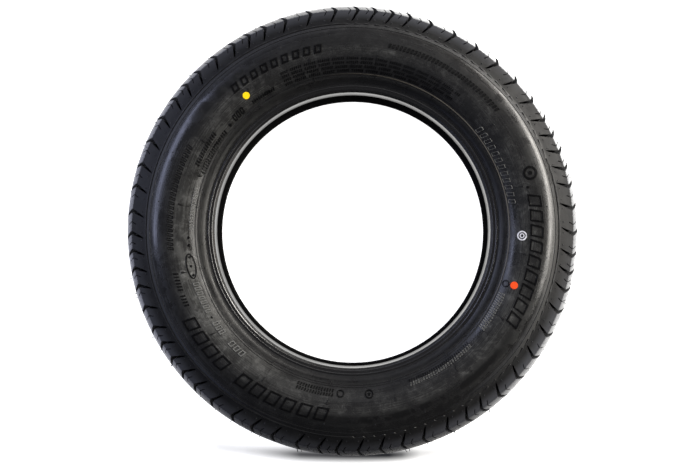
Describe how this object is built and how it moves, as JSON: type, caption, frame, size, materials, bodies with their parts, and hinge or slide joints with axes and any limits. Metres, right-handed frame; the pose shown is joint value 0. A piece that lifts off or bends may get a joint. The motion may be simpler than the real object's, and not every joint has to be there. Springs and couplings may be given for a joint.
{
  "type": "car tyre",
  "caption": "Tubeless radial car tyre for a 13 inch rim, with chevron shoulder grooves and paint balance marks, lying on its sidewall.",
  "frame": {"origin": "centre of the tyre, on its axis, midway between the two sidewalls", "axes": "+Z along the tyre's axis, out of the marked sidewall, which faces up; +X through the white stamp's side, with the yellow dot up and to the left of the axis as seen from +Z"},
  "size_m": [0.5472, 0.5472, 0.157],
  "materials": {
    "rubber": "matte moulded black rubber with a low sheen on the sidewall",
    "yellow_paint": "flat yellow marking paint",
    "red_paint": "flat orange-red marking paint",
    "white_paint": "thin white stamping ink"
  },
  "bodies": {
    "root": {"tyre": "rubber", "yellow_dot": "yellow_paint", "red_dot": "red_paint", "white_stamp": "white_paint"}
  },
  "joints": []
}
